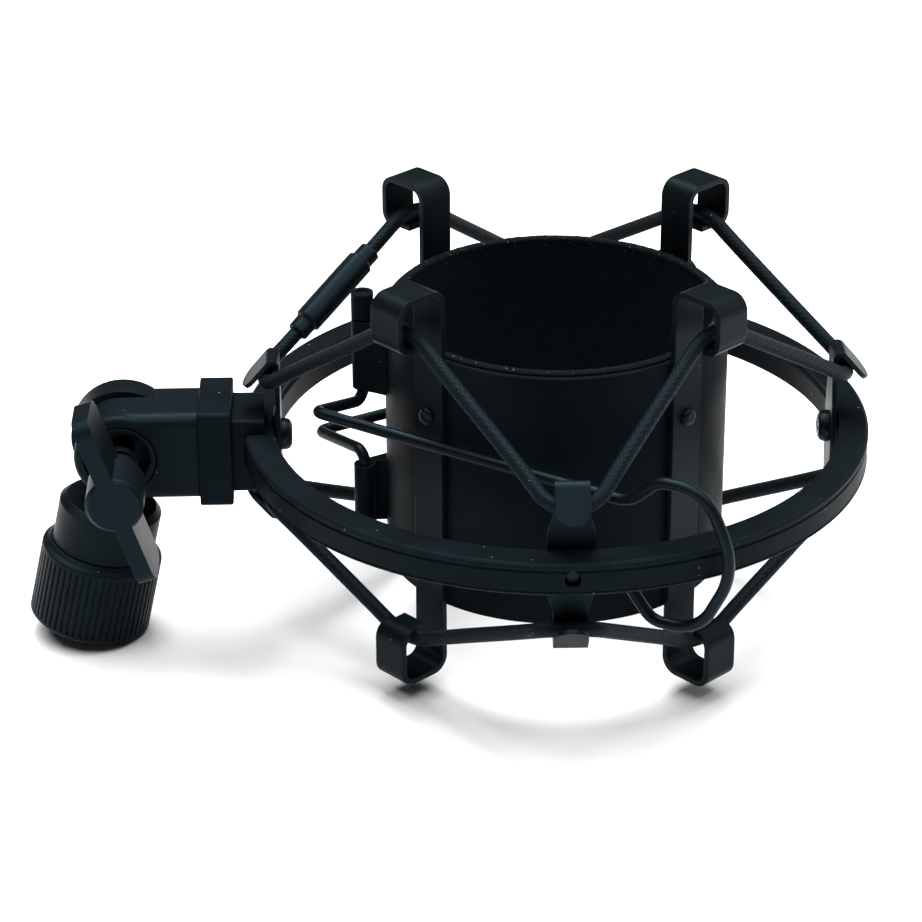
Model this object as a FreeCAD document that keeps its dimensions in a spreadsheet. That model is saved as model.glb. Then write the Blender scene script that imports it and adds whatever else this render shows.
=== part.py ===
import FreeCAD, Part
import math
import os

# Elastic suspension cradle for a studio microphone, in millimetres.
# Z is up. The outer ring lies in the XY plane with its centre at the origin. The stand
# swivel is on the -X side. The cradle's front half, with the high clamp wire, faces -Y.

V = FreeCAD.Vector
X_AXIS = V(1, 0, 0)
Y_AXIS = V(0, 1, 0)
Z_AXIS = V(0, 0, 1)

os.makedirs("parts", exist_ok=True)
doc = FreeCAD.newDocument("ShockMount")

SIZES = (
    ("ring_radius", 59.0, "outer ring, outside radius"),
    ("ring_width", 6.0, "outer ring, radial width"),
    ("ring_height", 6.3, "outer ring, height"),
    ("shell_radius", 32.1, "cradle shell, outside radius"),
    ("shell_wall", 1.0, "cradle shell, sheet thickness"),
    ("shell_top", 26.1, "cradle shell, top edge"),
    ("shell_bottom", -24.2, "cradle shell, bottom edge"),
    ("felt_wall", 1.5, "felt liner thickness"),
    ("felt_proud", 0.7, "felt standing above the shell"),
    ("split_angle", 177.0, "arc covered by each half of the cradle, degrees"),
    ("strap_width", 7.2, "hook strap width"),
    ("strap_sheet", 1.1, "hook strap thickness"),
    ("strap_turn", -2.5, "turn of the four straps from the diagonals, degrees"),
    ("hook_top", 40.7, "top of the upper hooks"),
    ("hook_bottom", -37.6, "bottom of the lower hooks"),
    ("hook_reach", 11.0, "middle of a hook's flange, outside the shell"),
    ("drop_top", 9.4, "length of the upper hooks' flanges"),
    ("drop_bottom", 10.4, "length of the lower hooks' flanges"),
    ("rivet_height", 14.5, "height of the rivets above and below the ring"),
    ("rivet_radius", 1.0, "rivet shank radius"),
    ("tab_width", 8.6, "ring tab width at the screw"),
    ("tab_neck", 6.2, "ring tab width at the hooks"),
    ("tab_sheet", 0.9, "ring tab thickness"),
    ("tab_fold", 17.9, "height of the tab's fold corner"),
    ("tab_lip", 9.8, "length of the tab's folded lip"),
    ("lip_slope", 50.0, "slope of the tab's lip, degrees"),
    ("screw_radius", 1.4, "tab screw shank radius"),
    ("cord_diameter", 2.8, "elastic cord diameter"),
    ("cord_on_lip", 6.9, "middle of the cord on a hook's lip, outside the shell"),
    ("sleeve_flats", 5.2, "cord sleeve, width across flats"),
    ("wire_diameter", 2.2, "clamp wire diameter"),
    ("hinge_offset", 4.1, "hinge axis, outside the shell"),
    ("knuckle_radius", 2.1, "hinge knuckle radius"),
    ("pivot_offset", 23.0, "swivel axis, outside the ring"),
    ("pivot_height", -1.5, "swivel axis height"),
    ("arm_height", 17.6, "swivel arm, height and diameter of its eye"),
    ("arm_depth", 14.6, "swivel arm, depth across its eye"),
    ("cup_radius", 6.8, "cup washer radius"),
    ("cheek_radius", 9.9, "stand body, radius of the cheek"),
    ("stud_radius", 1.85, "pivot stud radius"),
    ("stand_lean", 12.5, "lean of the stand body at rest, degrees"),
    ("stand_radius", 9.8, "stand body, radius of the round part"),
    ("nut_radius", 11.6, "stand nut, outside radius"),
    ("nut_height", 16.6, "stand nut, height"),
    ("nut_bore", 7.45, "stand nut, radius of the threaded hole"),
    ("nut_ribs", 56, "stand nut, number of grip ribs"),
    ("lever_length", 35.0, "locking lever, overall length"),
    ("lever_depth", 12.0, "locking lever, depth of its wings"),
    ("lever_turn", 18.4, "locking lever's lean at rest, degrees"),
    ("knob_radius", 6.3, "cradle knob radius"),
    ("knob_height", 15.4, "cradle knob, height of its axis"),
)

sheet = doc.addObject("Spreadsheet::Sheet", "sizes")
for row, (alias, value, note) in enumerate(SIZES, start=1):
    sheet.set("A%d" % row, note)
    sheet.set("B%d" % row, str(value))
    sheet.setAlias("B%d" % row, alias)
doc.recompute()


def size(alias):
    return float(sheet.get(alias))


# Clearances between pieces.
SEAT_GAP = 0.03
PIN_GAP = 0.08
HOLE_GAP = 0.1

# Places that several pieces share, worked out from the driving sizes.
ring_inside = size("ring_radius") - size("ring_width")
ring_half = size("ring_height") / 2
shell_inside = size("shell_radius") - size("shell_wall")
strap_face = size("shell_radius") + 0.09
strap_back = strap_face + size("strap_sheet")
tab_back = math.sqrt(ring_inside ** 2 - (size("tab_width") / 2) ** 2) - 0.04
tab_face = tab_back - size("tab_sheet")
cord_radius = size("cord_diameter") / 2
cord_at_hook = size("shell_radius") + size("cord_on_lip")
cord_at_tab = tab_back + cord_radius + 0.16
lip_angle = math.radians(size("lip_slope"))
lip_clearance = cord_radius + size("tab_sheet") / 2 + HOLE_GAP
cord_to_tab = cord_at_tab - tab_back + size("tab_sheet") / 2
cord_below_fold = (lip_clearance + cord_to_tab * math.sin(lip_angle)) / math.cos(lip_angle)
cord_tab_height = size("tab_fold") - cord_below_fold
knob_from_strap = size("strap_width") / 2 + 3.3
knob_azimuth = 45 + size("strap_turn") + math.degrees(knob_from_strap / strap_back)
hinge_x = -size("shell_radius") - size("hinge_offset")
pivot_x = -size("ring_radius") - size("pivot_offset")
eye_radius = size("arm_height") / 2
cheek_front = 2.0
cheek_rear = 8.0
drum_top = -12.2
nut_top = drum_top - 9.6

nodes = []


def keep(obj, name):
    """Name a finished sub-part and put it on the list to be written out."""
    obj.Label = name
    nodes.append(obj)
    return obj


def polar(radius, degrees, height=0.0):
    angle = math.radians(degrees)
    return V(radius * math.cos(angle), radius * math.sin(angle), height)


def turned_point(point, degrees):
    return FreeCAD.Rotation(Z_AXIS, degrees).multVec(point)


# ------------------------------------------------------------- sketched bodies

def new_body(name):
    return doc.addObject("PartDesign::Body", name)


def plane_of(body, role):
    return [item for item in body.Origin.OriginFeatures if item.Role == role][0]


def lines(corners):
    """Closed outline of straight lines through (x, y) corners of a sketch."""
    points = [V(x, y, 0) for x, y in corners]
    return [Part.LineSegment(start, end)
            for start, end in zip(points, points[1:] + points[:1])]


def rectangle(x0, x1, y0, y1):
    return lines(((x0, y0), (x1, y0), (x1, y1), (x0, y1)))


def rounded_rectangle(half_x, half_y, radius):
    """Rectangle about the sketch's origin with round corners."""
    outline = []
    corner = V(half_x - radius, half_y - radius, 0)
    for quarter, (sign_x, sign_y) in enumerate(((1, 1), (-1, 1), (-1, -1), (1, -1))):
        centre = V(sign_x * corner.x, sign_y * corner.y, 0)
        start, middle, end = [centre + polar(radius, 90 * quarter + angle)
                              for angle in (0, 45, 90)]
        if outline:
            outline.append(Part.LineSegment(outline[-1].EndPoint, start))
        outline.append(Part.Arc(start, middle, end))
    outline.append(Part.LineSegment(outline[-1].EndPoint, outline[0].StartPoint))
    return outline


def sketch(body, name, plane, geometry):
    """Sketch on one of the body's own origin planes."""
    drawn = body.newObject("Sketcher::SketchObject", name)
    drawn.AttachmentSupport = [(plane_of(body, plane), "")]
    drawn.MapMode = "FlatFace"
    for item in geometry:
        drawn.addGeometry(item, False)
    drawn.Visibility = False
    return drawn


def extruded(body, kind, drawn, length, sides="Symmetric"):
    """Pad or Pocket of a sketch. The length may be an expression."""
    made = body.newObject("PartDesign::" + kind, drawn.Name + "_" + kind.lower())
    made.Profile = drawn
    made.SideType = sides
    if isinstance(length, str):
        made.setExpression("Length", length)
    else:
        made.Length = length
    doc.recompute()
    return made


def turned(body, kind, drawn, angle=360.0):
    """Revolution or Groove of a sketch about its vertical axis."""
    made = body.newObject("PartDesign::" + kind, drawn.Name + "_" + kind.lower())
    made.Profile = drawn
    made.ReferenceAxis = (drawn, ["V_Axis"])
    if isinstance(angle, str):
        made.Midplane = True
        made.setExpression("Angle", angle)
    else:
        made.Angle = angle
    doc.recompute()
    return made


def along(direction):
    """Rotation that carries Z onto a direction."""
    return FreeCAD.Rotation(Z_AXIS, direction)


def cylinder_in(body, kind, name, radius, height, start, direction):
    """Additive or subtractive cylinder. The radius may be an expression."""
    made = body.newObject("PartDesign::%sCylinder" % kind, name)
    if isinstance(radius, str):
        made.setExpression("Radius", radius)
    else:
        made.Radius = radius
    made.Height = height
    made.Placement = FreeCAD.Placement(start, along(direction))
    doc.recompute()
    return made


def box_in(body, kind, name, x0, x1, y0, y1, z0, z1):
    made = body.newObject("PartDesign::%sBox" % kind, name)
    made.Length = x1 - x0
    made.Width = y1 - y0
    made.Height = z1 - z0
    made.Placement = FreeCAD.Placement(V(x0, y0, z0), FreeCAD.Rotation())
    doc.recompute()
    return made


def rounded(body, name, radius, wanted, kind="Fillet"):
    """Fillet or chamfer the edges of the body so far that pass a test."""
    base = body.Tip
    names = ["Edge%d" % number for number, edge in enumerate(base.Shape.Edges, start=1)
             if wanted(edge)]
    made = body.newObject("PartDesign::" + kind, name)
    made.Base = (base, names)
    if kind == "Fillet":
        made.Radius = radius
    else:
        made.Size = radius
    doc.recompute()
    return made


def is_circle(edge):
    return isinstance(edge.Curve, Part.Circle)


def runs_along(edge, axis):
    """True for a straight edge parallel to an axis."""
    if not isinstance(edge.Curve, Part.Line):
        return False
    return abs(abs(edge.Curve.Direction * axis) - 1) < 0.001


def at_pivot(obj, angle=0.0):
    """Put a piece drawn about the swivel axis in its place."""
    obj.Placement = FreeCAD.Placement(V(0, 0, 0), FreeCAD.Rotation(Y_AXIS, angle))
    obj.setExpression("Placement.Base.x", "-sizes.ring_radius - sizes.pivot_offset")
    obj.setExpression("Placement.Base.z", "sizes.pivot_height")


# ------------------------------------------------------------------ bent paths

def bend(before, corner, after, radius):
    """Tangent arc at a corner: its start, its middle, its end and its centre."""
    back = (before - corner).normalize()
    ahead = (after - corner).normalize()
    half = back.getAngle(ahead) / 2
    centre = corner + (back + ahead).normalize() * (radius / math.sin(half))
    reach = radius / math.tan(half)
    middle = centre + (corner - centre).normalize() * radius
    return corner + back * reach, middle, corner + ahead * reach, centre


def path_edges(points, radii):
    """Straight runs through the points, joined by tangent arcs of the given radii."""
    edges = []
    here = points[0]
    for before, corner, after, radius in zip(points, points[1:], points[2:], radii):
        start, middle, end, centre = bend(before, corner, after, radius)
        edges.append(Part.LineSegment(here, start).toShape())
        edges.append(Part.Arc(start, middle, end).toShape())
        here = end
    edges.append(Part.LineSegment(here, points[-1]).toShape())
    return edges


def round_rod(points, radius, bend_radii):
    """Round rod swept along a bent path."""
    path = Part.Wire(path_edges(points, bend_radii))
    circle = Part.Circle(points[0], points[1] - points[0], radius).toShape()
    rod = path.makePipeShell([Part.Wire(circle)], True, True)
    wanted = math.pi * radius ** 2 * path.Length
    if abs(rod.Volume - wanted) > 0.01 * wanted:
        raise ValueError("a bent rod lost its section")
    return rod


def sheet_side(points, bend_radius, shift):
    """One face line of a bent sheet, its bends concentric with the middle line's."""
    side = []
    here = None
    for before, corner, after in zip(points, points[1:], points[2:]):
        start, middle, end, centre = bend(before, corner, after, bend_radius)
        aside_in = aside(before, corner, shift)
        aside_out = aside(corner, after, shift)
        if here is None:
            here = before + aside_in
        radius = (start + aside_in - centre).Length
        arc_middle = centre + (middle - centre).normalize() * radius
        side.append(Part.LineSegment(here, start + aside_in))
        side.append(Part.Arc(start + aside_in, arc_middle, end + aside_out))
        here = end + aside_out
    last = points[-1] + aside(points[-2], points[-1], shift)
    side.append(Part.LineSegment(here, last))
    return side


def aside(start, end, shift):
    """Step square to a run, to the left of it."""
    run = (end - start).normalize()
    return V(-run.y, run.x, 0) * shift


def sheet_outline(points, bend_radius, thickness):
    """Closed outline of a bent sheet seen from its edge."""
    left = sheet_side(points, bend_radius, thickness / 2)
    right = sheet_side(points, bend_radius, -thickness / 2)
    first = Part.LineSegment(left[0].StartPoint, right[0].StartPoint)
    last = Part.LineSegment(left[-1].EndPoint, right[-1].EndPoint)
    return left + right + [first, last]


# ------------------------------------------------------------------ outer ring

def ring_outline():
    """Section of the outer ring: a flat top, a ridge, a groove and a bottom lip."""
    outside = size("ring_radius")
    return lines((
        (ring_inside + 0.5, ring_half), (outside - 0.5, ring_half),
        (outside, ring_half - 0.4), (outside, ring_half - 1.1),
        (outside - 0.4, ring_half - 1.3), (outside - 0.4, ring_half - 1.7),
        (outside - 0.1, ring_half - 1.9), (outside - 0.1, 0.9 - ring_half),
        (outside - 0.35, 0.7 - ring_half), (outside, 0.45 - ring_half),
        (outside - 0.45, -ring_half), (ring_inside + 0.4, -ring_half),
        (ring_inside, 0.4 - ring_half), (ring_inside, ring_half - 1.4),
        (ring_inside + 0.5, ring_half - 1.2)))


def outer_ring():
    body = new_body("outer_ring")
    turned(body, "Revolution", sketch(body, "ring_section", "XZ_Plane", ring_outline()))
    for azimuth in (0, 90, 180, 270):
        cylinder_in(body, "Subtractive", "screw_hole_%d" % azimuth, "sizes.screw_radius + 0.1",
                    size("ring_width") + 6, polar(ring_inside - 3, azimuth), polar(1, azimuth))
    keep(body, "outer_ring")


# ------------------------------------------------------------------- ring tabs

def ring_tab(name, azimuth):
    """Sheet tab on the ring's inner face, folded outward into a hook at each end."""
    middle = (tab_face + tab_back) / 2
    fold = size("tab_fold")
    lip = V(math.cos(lip_angle), math.sin(lip_angle), 0) * size("tab_lip")
    points = [V(middle, -fold, 0) + lip, V(middle, -fold, 0), V(middle, fold, 0),
              V(middle + lip.x, fold - lip.y, 0)]
    body = new_body(name)
    outline = sheet_outline(points, 1.0, size("tab_sheet"))
    extruded(body, "Pad", sketch(body, name + "_fold", "XZ_Plane", outline), "sizes.tab_width")
    wide = size("tab_width") / 2
    neck = size("tab_neck") / 2
    for side in (-1, 1):
        for up in (-1, 1):
            waste = lines(((side * wide, up * 6), (side * neck, up * 10),
                           (side * neck, up * 30), (side * (wide + 1), up * 30),
                           (side * (wide + 1), up * 6)))
            drawn = sketch(body, "%s_waste_%d_%d" % (name, side + 1, up + 1), "YZ_Plane", waste)
            extruded(body, "Pocket", drawn, 150)
    cylinder_in(body, "Subtractive", name + "_hole", "sizes.screw_radius + 0.2", 6,
                V(tab_face - 2, 0, 0), X_AXIS)

    def at_lip_end(edge):
        far = edge.CenterOfMass.x > middle + 0.7 * lip.x
        return far and abs(edge.Length - size("tab_sheet")) < 0.01

    rounded(body, name + "_ends", neck - 0.1, at_lip_end)
    body.Placement = FreeCAD.Placement(V(0, 0, 0), FreeCAD.Rotation(Z_AXIS, azimuth))
    keep(body, name)


def tab_screw(name, azimuth):
    """Pan-head screw with a cross recess, driven outward through a tab into the ring."""
    body = new_body(name)
    shank = size("screw_radius")
    head = lines(((0, -2.0), (2.0, -2.0), (2.7, -1.6), (3.0, -0.9), (3.0, 0), (shank, 0),
                  (shank, 5.4), (shank - 0.3, 5.7), (0, 5.7)))
    turned(body, "Revolution", sketch(body, name + "_section", "XZ_Plane", head))
    box_in(body, "Subtractive", name + "_slot_a", -1.7, 1.7, -0.35, 0.35, -3, -0.9)
    box_in(body, "Subtractive", name + "_slot_b", -0.35, 0.35, -1.7, 1.7, -3, -0.9)
    body.Placement = FreeCAD.Placement(polar(tab_face - 0.02, azimuth), along(polar(1, azimuth)))
    keep(body, name)


# ---------------------------------------------------------------------- cradle

def rivet_places(middle):
    """Azimuth and height of each rivet in one half of the cradle."""
    return [(azimuth, height) for azimuth in strap_azimuths(middle)
            for height in (size("rivet_height"), -size("rivet_height"))]


def strap_azimuths(middle):
    return (middle - 45 + size("strap_turn"), middle + 45 + size("strap_turn"))


def half_shell(name, middle):
    """Half of the cradle's thin shell, with a beaded top edge and rivet holes."""
    outside = size("shell_radius")
    top = size("shell_top")
    bottom = size("shell_bottom")
    bead = outside + 0.04
    outline = lines(((shell_inside, bottom), (outside - 0.2, bottom), (outside, bottom + 0.2),
                     (outside, top - 1.5), (bead, top - 1.2), (bead, top - 0.3),
                     (outside - 0.25, top), (shell_inside + 0.25, top),
                     (shell_inside, top - 0.25)))
    body = new_body(name)
    turned(body, "Revolution", sketch(body, name + "_section", "XZ_Plane", outline),
           "sizes.split_angle")
    for number, (azimuth, height) in enumerate(rivet_places(middle)):
        cylinder_in(body, "Subtractive", "%s_hole_%d" % (name, number),
                    "sizes.rivet_radius + 0.05", 6,
                    polar(shell_inside - 2, azimuth - middle, height),
                    polar(1, azimuth - middle))
    body.Placement = FreeCAD.Placement(V(0, 0, 0), FreeCAD.Rotation(Z_AXIS, middle))
    keep(body, name)


def half_liner(name, middle):
    outside = shell_inside - HOLE_GAP
    inside = outside - size("felt_wall")
    top = size("shell_top") + size("felt_proud")
    bottom = size("shell_bottom") + 0.4
    outline = lines(((inside, bottom + 0.3), (inside + 0.3, bottom), (outside, bottom),
                     (outside, top - 0.4), (outside - 0.4, top), (inside + 0.4, top),
                     (inside, top - 0.4)))
    body = new_body(name)
    turned(body, "Revolution", sketch(body, name + "_section", "XZ_Plane", outline),
           "sizes.split_angle")
    body.Placement = FreeCAD.Placement(V(0, 0, 0), FreeCAD.Rotation(Z_AXIS, middle))
    keep(body, name)


def hook_strap(name, azimuth):
    """Flat strap up the shell with a hook at each end, folded out and back in."""
    thickness = size("strap_sheet")
    middle = (strap_face + strap_back) / 2
    flange = size("shell_radius") + size("hook_reach")
    top = size("hook_top") - thickness / 2
    bottom = size("hook_bottom") + thickness / 2
    lip = cord_at_hook - cord_radius - 0.35
    low_lip = bottom + size("drop_bottom")
    high_lip = top - size("drop_top")
    points = [V(lip, low_lip, 0), V(flange, low_lip, 0), V(flange, bottom, 0),
              V(middle, bottom, 0), V(middle, top, 0), V(flange, top, 0),
              V(flange, high_lip, 0), V(lip, high_lip, 0)]
    body = new_body(name)
    outline = sheet_outline(points, 2.6, thickness)
    extruded(body, "Pad", sketch(body, name + "_fold", "XZ_Plane", outline),
             "sizes.strap_width")
    edge = size("strap_width") / 2
    tongue = edge - 1.1
    for height in (high_lip, low_lip):
        for side in (-1, 1):
            low, high = sorted((side * tongue, side * (edge + 1)))
            box_in(body, "Subtractive", "%s_tongue_%d" % (name, len(body.Group)),
                   lip - 1, flange - 3.3, low, high, height - 1, height + 1)
    for height in (size("rivet_height"), -size("rivet_height")):
        cylinder_in(body, "Subtractive", "%s_hole_%d" % (name, len(body.Group)),
                    "sizes.rivet_radius + 0.05", 6, V(strap_face - 2, 0, height), X_AXIS)
    body.Placement = FreeCAD.Placement(V(0, 0, 0), FreeCAD.Rotation(Z_AXIS, azimuth))
    keep(body, name)


def strap_rivets(name, middle):
    """Round-head rivets that hold two straps to one half of the shell."""
    base = strap_back + 0.01
    inner_end = shell_inside + 0.05
    rivets = []
    for azimuth, height in rivet_places(middle):
        head = Part.makeCylinder(size("rivet_radius") + 0.65, 1.1, V(0, 0, base))
        crown = [edge for edge in head.Edges if edge.BoundBox.ZMin > base + 1.0]
        shank = Part.makeCylinder(size("rivet_radius"), base + 0.3 - inner_end,
                                  V(0, 0, inner_end))
        rivet = head.makeFillet(0.9, crown).fuse(shank).removeSplitter()
        rivet.Placement = FreeCAD.Placement(V(0, 0, height), along(polar(1, azimuth)))
        rivets.append(rivet)
    obj = doc.addObject("Part::Feature", name)
    obj.Shape = Part.makeCompound(rivets)
    keep(obj, name)


# -------------------------------------------------------------- elastic cords

def hook_cord_height(side):
    """Height of the cord's middle on the upper (+1) or lower (-1) hook lips."""
    edge = size("hook_top") if side > 0 else size("hook_bottom")
    drop = size("drop_top") if side > 0 else size("drop_bottom")
    lip_middle = edge - side * (drop + size("strap_sheet") / 2)
    return lip_middle + side * (size("strap_sheet") / 2 + cord_radius + 0.05)


def cord_corners(side):
    """Corners of an elastic loop: two at each ring tab and two at each hook."""
    at_tab = size("tab_neck") / 2 + cord_radius / 2
    at_hook = size("strap_width") / 2 - 0.3
    corners = []
    for quarter in (0, 90, 180, 270):
        for end in (-at_tab, at_tab):
            corner = V(cord_at_tab, end, side * cord_tab_height)
            corners.append(turned_point(corner, quarter))
        for end in (-at_hook, at_hook):
            corner = V(cord_at_hook, end, hook_cord_height(side))
            corners.append(turned_point(corner, quarter + 45 + size("strap_turn")))
    return corners


def elastic_loop(name, side):
    """One endless cord, made as two halves that meet square in straight runs."""
    corners = cord_corners(side)
    first = (corners[-1] + corners[0]) / 2
    second = (corners[7] + corners[8]) / 2
    halves = ([first] + corners[:8] + [second], [second] + corners[8:] + [first])
    rods = [round_rod(points, cord_radius, [2.6] * 8) for points in halves]
    obj = doc.addObject("Part::Feature", name)
    obj.Shape = rods[0].fuse(rods[1]).removeSplitter()
    keep(obj, name)


def cord_sleeve():
    """Six-sided sleeve that joins the upper cord's ends, near the left tab."""
    corners = cord_corners(1)
    hook = corners[7]
    tab = corners[8]
    body = new_body("cord_sleeve")
    corner_radius = size("sleeve_flats") / math.sqrt(3)
    hexagon = [(corner_radius * math.cos(math.radians(60 * number)),
                corner_radius * math.sin(math.radians(60 * number))) for number in range(6)]
    extruded(body, "Pad", sketch(body, "sleeve_section", "XY_Plane", lines(hexagon)), 16.0)
    rounded(body, "sleeve_edges", 0.7, lambda edge: runs_along(edge, Z_AXIS))
    cylinder_in(body, "Additive", "sleeve_collars", 2.1, 22, V(0, 0, -11), Z_AXIS)
    cylinder_in(body, "Subtractive", "sleeve_bore", "sizes.cord_diameter / 2 + 0.06", 24,
                V(0, 0, -12), Z_AXIS)
    body.Placement = FreeCAD.Placement(hook + (tab - hook) * 0.54, along(tab - hook))
    keep(body, "cord_sleeve")


# --------------------------------------------------------- hinge and clamp wires

# Heights of the knuckles: a long and a short one for each half, the wires between them.
FRONT_KNUCKLES = ((9.8, 23.8), (-23.4, -19.6))
BACK_KNUCKLES = ((24.2, 29.2), (-19.2, -6.6))


def knuckles(name, spans, side):
    """Rolled hinge knuckles of one half of the cradle, each with its leaf."""
    radius = size("knuckle_radius")
    seat = size("shell_radius") + 0.08
    bore = size("wire_diameter") / 2 + PIN_GAP
    far = -size("shell_radius") + 3.2
    rolls = []
    for low, high in spans:
        leaf_height = min(high, size("shell_top") - 0.5) - low
        outline = [V(hinge_x, side * 0.9, low), V(hinge_x, side * radius, low),
                   V(far, side * (radius + 4), low), V(far, side * 0.9, low)]
        leaf = Part.Face(Part.makePolygon(outline + outline[:1]))
        leaf = leaf.extrude(V(0, 0, leaf_height))
        leaf = leaf.cut(Part.makeCylinder(seat, 90, V(0, 0, -45)))
        roll = Part.makeCylinder(radius, high - low, V(hinge_x, 0, low))
        hole = Part.makeCylinder(bore, high - low + 2, V(hinge_x, 0, low - 1))
        rolls.append(roll.fuse(leaf).cut(hole).removeSplitter())
    obj = doc.addObject("Part::Feature", name)
    obj.Shape = Part.makeCompound(rolls)
    keep(obj, name)


def clamp_wire(name, side):
    """Spring wire: a leg in the hinge, an outward bend, a run along the shell, a loop.

    The front wire (side -1) runs high and its loop climbs over the ring first, the
    back wire (side 1) runs low and its loop dips under the ring first.
    """
    if side < 0:
        pin_top, pin_bottom = 28.9, 6.9
        elbow_height, run_height = 11.6, 8.6
        first, second = 13.9, -14.1
    else:
        pin_top, pin_bottom = -23.2, -3.9
        elbow_height, run_height = -6.7, -7.4
        first, second = -14.1, 13.9
    elbow = V(hinge_x - 9, side * 14.4, elbow_height)
    run_end = V(10.5, side * (ring_inside - 6.8), run_height)
    outward = V(0.88, side * 0.475, 0)
    reach = size("ring_radius") - 38.2

    def loop(distance, height):
        return V(run_end.x, run_end.y, height) + outward * distance

    points = [V(hinge_x, 0, pin_top), V(hinge_x, 0, pin_bottom), elbow, run_end,
              loop(5.5, first), loop(14.5, first), loop(reach, 0), loop(14.0, second),
              loop(5.0, second), loop(0.8, second * 0.62)]
    radii = (2.4, 1.9, 6.0, 5.0, 8.0, 14.0, 8.0, 4.0)
    obj = doc.addObject("Part::Feature", name)
    obj.Shape = round_rod(points, size("wire_diameter") / 2, radii)
    keep(obj, name)


# ------------------------------------------------------------------------ knob

def cradle_knob():
    """Round grip knob with finger flutes, on a short stud."""
    radius = size("knob_radius")
    base = strap_back + 4.6
    body = new_body("cradle_knob")
    section = lines(((0, base - 4.3), (1.7, base - 4.3), (1.7, base), (radius - 0.8, base),
                     (radius, base + 0.8), (radius, base + 5.2), (radius - 0.8, base + 6),
                     (0, base + 6)))
    turned(body, "Revolution", sketch(body, "knob_section", "XZ_Plane", section))
    flute = cylinder_in(body, "Subtractive", "knob_flute", 0.9, 9,
                        V(radius + 0.55, 0, base - 1), Z_AXIS)
    flutes = body.newObject("PartDesign::PolarPattern", "knob_flutes")
    flutes.Originals = [flute]
    flutes.Axis = (plane_of(body, "Z_Axis"), [""])
    flutes.Angle = 360
    flutes.Occurrences = 12
    body.Tip = flutes
    doc.recompute()
    on_knob_axis(body)
    keep(body, "cradle_knob")


def on_knob_axis(body):
    """Lay a piece turned about Z along the knob's axis."""
    body.Placement = FreeCAD.Placement(V(0, 0, 0), along(polar(1, knob_azimuth)))
    body.setExpression("Placement.Base.z", "sizes.knob_height")


def knob_boss():
    """Round boss on the back half, which the knob's stud turns in."""
    body = new_body("knob_boss")
    stand_off = strap_back + 2.0
    bore = 1.7 + PIN_GAP
    foot = shell_inside - 1
    section = lines(((0, foot), (3.0, foot), (3.0, stand_off - 0.4), (2.6, stand_off),
                     (bore, stand_off), (bore, strap_back + 0.1), (0, strap_back + 0.1)))
    turned(body, "Revolution", sketch(body, "boss_section", "XZ_Plane", section))
    cylinder_in(body, "Subtractive", "boss_seat", "sizes.shell_radius + 0.1", 20,
                polar(10, knob_azimuth), polar(-1, knob_azimuth))
    on_knob_axis(body)
    keep(body, "knob_boss")


# ------------------------------------------------------------- swivel and stand

def ring_boss():
    """Block that grips the ring's section on the swivel side."""
    outside = size("ring_radius")
    body = new_body("ring_boss")
    front = rectangle(-outside - 2.0, -outside + 4.1, -8.9, 5.9)
    extruded(body, "Pad", sketch(body, "boss_side", "XZ_Plane", front), 13.2)
    rounded(body, "boss_edges", 0.8, lambda edge: runs_along(edge, X_AXIS))
    slot = rectangle(ring_inside - 0.5, outside + SEAT_GAP, -ring_half - SEAT_GAP,
                     ring_half + SEAT_GAP)
    turned(body, "Groove", sketch(body, "ring_slot", "XZ_Plane", slot))
    keep(body, "ring_boss")


def arm_flange():
    """Square plate between the boss and the arm."""
    outside = size("ring_radius")
    body = new_body("arm_flange")
    side = rectangle(-outside - 8.3, -outside - 2.0 - SEAT_GAP, -11.0, 8.3)
    extruded(body, "Pad", sketch(body, "flange_side", "XZ_Plane", side), 17.0)
    rounded(body, "flange_corners", 1.0, lambda edge: runs_along(edge, X_AXIS))
    rounded(body, "flange_rims", 0.4, lambda edge: edge.BoundBox.XLength < 0.01)
    keep(body, "arm_flange")


def swivel_arm():
    """Arm with a round eye. The far side is cut back for the stand body's cheek."""
    half = size("arm_height") / 2
    deep = size("arm_depth") / 2
    start = size("pivot_offset") - 8.3 - SEAT_GAP
    body = new_body("swivel_arm")
    cylinder_in(body, "Additive", "arm_eye", "sizes.arm_height / 2", 2 * deep,
                V(0, -deep, 0), Y_AXIS)
    rounded(body, "eye_rims", 1.2, is_circle)
    section = sketch(body, "arm_section", "YZ_Plane", rounded_rectangle(deep, half, 2.4))
    extruded(body, "Pad", section, start, "One side")
    pocket = max(eye_radius, size("cheek_radius")) + 0.75
    cylinder_in(body, "Subtractive", "cheek_pocket", pocket, 10,
                V(0, cheek_front - 0.3, 0), Y_AXIS)
    cylinder_in(body, "Subtractive", "cup_pocket", "sizes.cup_radius + 0.1", 7.0,
                V(0, -deep, 0), Y_AXIS)
    cylinder_in(body, "Subtractive", "stud_hole", "sizes.stud_radius + 0.45", 30,
                V(0, -15, 0), Y_AXIS)
    at_pivot(body)
    keep(body, "swivel_arm")


def swivel_cup():
    """Pressed cup washer in the near side of the arm's eye."""
    outer = size("cup_radius")
    hole = size("stud_radius") + 0.45
    near = size("arm_depth") / 2
    section = lines(((hole, near - 6.9), (outer, near - 6.9), (outer, near - 0.4),
                     (outer - 0.4, near), (outer - 0.9, near), (outer - 1.2, near - 0.3),
                     (outer - 1.2, near - 5.6), (hole, near - 5.6)))
    body = new_body("swivel_cup")
    turned(body, "Revolution", sketch(body, "cup_section", "XZ_Plane", section))
    across_pivot(body)
    keep(body, "swivel_cup")


def across_pivot(body):
    """Lay a piece turned about Z along the swivel axis, its top toward -Y."""
    at_pivot(body)
    body.Placement = FreeCAD.Placement(body.Placement.Base, along(-Y_AXIS))


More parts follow.
